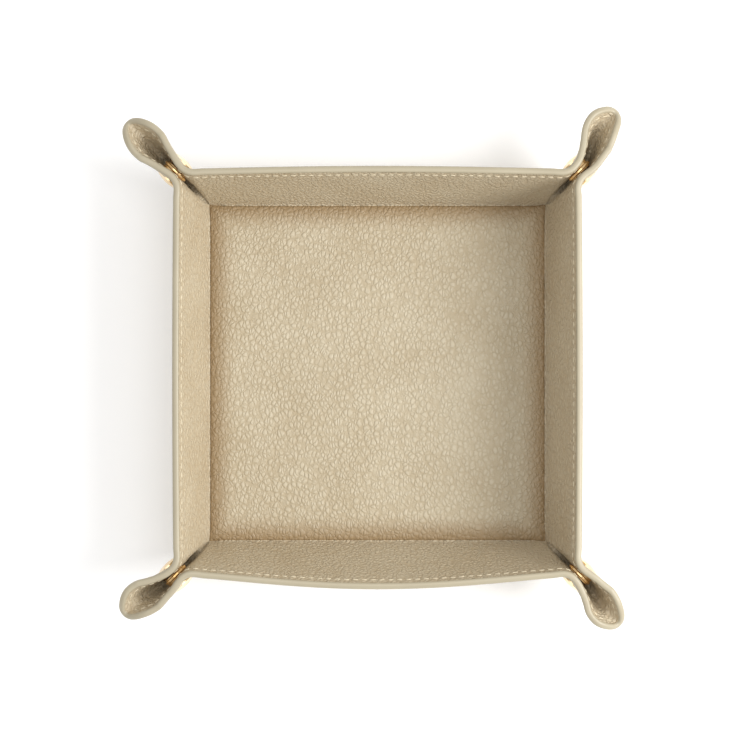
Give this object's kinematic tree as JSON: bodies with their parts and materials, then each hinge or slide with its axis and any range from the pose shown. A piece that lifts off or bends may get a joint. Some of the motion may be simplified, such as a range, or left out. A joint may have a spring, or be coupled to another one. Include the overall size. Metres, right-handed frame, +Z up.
{
  "type": "valet tray",
  "caption": "Square leather valet tray with a padded base, leaning stitched walls and corners pinched into spouts by snaps; it unsnaps to lie flat.",
  "frame": {"origin": "middle of the flat underside, on the surface that the tray stands on", "axes": "+Z up, +X to the right and +Y to the back, which is the top of the picture"},
  "size_m": [0.2262, 0.2262, 0.0479],
  "materials": {
    "outer_leather": "fine grain, satin",
    "lining_leather": "pebbled grain, satin",
    "fibre_board": "matte pressed fibre",
    "foam": "matte foam",
    "snap_metal": "polished gold plate",
    "spring_steel": "drawn wire"
  },
  "bodies": {
    "base": {"base_outer": "outer_leather", "base_board": "fibre_board", "base_pad": "foam", "base_lining": "lining_leather"},
    "wall_back": {"wall_outer_back": "outer_leather", "wall_board_back": "fibre_board", "wall_lining_back": "lining_leather"},
    "wall_left": {"wall_outer_left": "outer_leather", "wall_board_left": "fibre_board", "wall_lining_left": "lining_leather"},
    "wall_front": {"wall_outer_front": "outer_leather", "wall_board_front": "fibre_board", "wall_lining_front": "lining_leather"},
    "wall_right": {"wall_outer_right": "outer_leather", "wall_board_right": "fibre_board", "wall_lining_right": "lining_leather"},
    "spout_back_at_right": {"spout_outer_back_at_right": "outer_leather", "spout_lining_back_at_right": "lining_leather", "snap_cap_back_right": "snap_metal", "snap_socket_back_right": "snap_metal", "snap_spring_back_right": "spring_steel"},
    "spout_right_at_back": {"spout_outer_right_at_back": "outer_leather", "spout_lining_right_at_back": "lining_leather", "snap_post_back_right": "snap_metal", "snap_stud_back_right": "snap_metal"},
    "spout_left_at_back": {"spout_outer_left_at_back": "outer_leather", "spout_lining_left_at_back": "lining_leather", "snap_cap_back_left": "snap_metal", "snap_socket_back_left": "snap_metal", "snap_spring_back_left": "spring_steel"},
    "spout_back_at_left": {"spout_outer_back_at_left": "outer_leather", "spout_lining_back_at_left": "lining_leather", "snap_post_back_left": "snap_metal", "snap_stud_back_left": "snap_metal"},
    "spout_front_at_left": {"spout_outer_front_at_left": "outer_leather", "spout_lining_front_at_left": "lining_leather", "snap_cap_front_left": "snap_metal", "snap_socket_front_left": "snap_metal", "snap_spring_front_left": "spring_steel"},
    "spout_left_at_front": {"spout_outer_left_at_front": "outer_leather", "spout_lining_left_at_front": "lining_leather", "snap_post_front_left": "snap_metal", "snap_stud_front_left": "snap_metal"},
    "spout_right_at_front": {"spout_outer_right_at_front": "outer_leather", "spout_lining_right_at_front": "lining_leather", "snap_cap_front_right": "snap_metal", "snap_socket_front_right": "snap_metal", "snap_spring_front_right": "spring_steel"},
    "spout_front_at_right": {"spout_outer_front_at_right": "outer_leather", "spout_lining_front_at_right": "lining_leather", "snap_post_front_right": "snap_metal", "snap_stud_front_right": "snap_metal"}
  },
  "joints": [
    {"name": "back_fold", "type": "hinge", "parent": "base", "child": "wall_back", "pos_m": [0, 0.07841, 0], "axis": [-1, 0, 0], "range_deg": [0, 69.5], "deforming": ["snap_spring_back_right", "snap_spring_back_left", "snap_spring_front_left", "snap_spring_front_right"]},
    {"name": "left_fold", "type": "hinge", "parent": "base", "child": "wall_left", "pos_m": [-0.07841, 0, 0], "axis": [0, -1, 0], "range_deg": [0, 69.5]},
    {"name": "front_fold", "type": "hinge", "parent": "base", "child": "wall_front", "pos_m": [0, -0.07841, 0], "axis": [1, 0, 0], "range_deg": [0, 69.5]},
    {"name": "right_fold", "type": "hinge", "parent": "base", "child": "wall_right", "pos_m": [0.07841, 0, 0], "axis": [0, 1, 0], "range_deg": [0, 69.5]},
    {"name": "back_at_right_neck", "type": "hinge", "parent": "wall_back", "child": "spout_back_at_right", "pos_m": [0.076, 0.076, 0.003], "axis": [-0.1263, -0.2147, -0.9685], "range_deg": [0, 36.84]},
    {"name": "right_at_back_neck", "type": "hinge", "parent": "wall_right", "child": "spout_right_at_back", "pos_m": [0.076, 0.076, 0.003], "axis": [0.2147, 0.1263, 0.9685], "range_deg": [0, 36.84]},
    {"name": "left_at_back_neck", "type": "hinge", "parent": "wall_left", "child": "spout_left_at_back", "pos_m": [-0.076, 0.076, 0.003], "axis": [0.2147, -0.1263, -0.9685], "range_deg": [0, 36.84]},
    {"name": "back_at_left_neck", "type": "hinge", "parent": "wall_back", "child": "spout_back_at_left", "pos_m": [-0.076, 0.076, 0.003], "axis": [-0.1263, 0.2147, 0.9685], "range_deg": [0, 36.84]},
    {"name": "front_at_left_neck", "type": "hinge", "parent": "wall_front", "child": "spout_front_at_left", "pos_m": [-0.076, -0.076, 0.003], "axis": [0.1263, 0.2147, -0.9685], "range_deg": [0, 36.84]},
    {"name": "left_at_front_neck", "type": "hinge", "parent": "wall_left", "child": "spout_left_at_front", "pos_m": [-0.076, -0.076, 0.003], "axis": [-0.2147, -0.1263, 0.9685], "range_deg": [0, 36.84]},
    {"name": "right_at_front_neck", "type": "hinge", "parent": "wall_right", "child": "spout_right_at_front", "pos_m": [0.076, -0.076, 0.003], "axis": [-0.2147, 0.1263, -0.9685], "range_deg": [0, 36.84]},
    {"name": "front_at_right_neck", "type": "hinge", "parent": "wall_front", "child": "spout_front_at_right", "pos_m": [0.076, -0.076, 0.003], "axis": [0.1263, -0.2147, 0.9685], "range_deg": [0, 36.84]}
  ],
  "couplings": [
    {"joint": "left_fold", "follows": "back_fold", "ratio": 1},
    {"joint": "front_fold", "follows": "back_fold", "ratio": 1},
    {"joint": "right_fold", "follows": "back_fold", "ratio": 1},
    {"joint": "back_at_right_neck", "follows": "back_fold", "ratio": 0.53},
    {"joint": "right_at_back_neck", "follows": "back_fold", "ratio": 0.53},
    {"joint": "left_at_back_neck", "follows": "back_fold", "ratio": 0.53},
    {"joint": "back_at_left_neck", "follows": "back_fold", "ratio": 0.53},
    {"joint": "front_at_left_neck", "follows": "back_fold", "ratio": 0.53},
    {"joint": "left_at_front_neck", "follows": "back_fold", "ratio": 0.53},
    {"joint": "right_at_front_neck", "follows": "back_fold", "ratio": 0.53},
    {"joint": "front_at_right_neck", "follows": "back_fold", "ratio": 0.53}
  ]
}
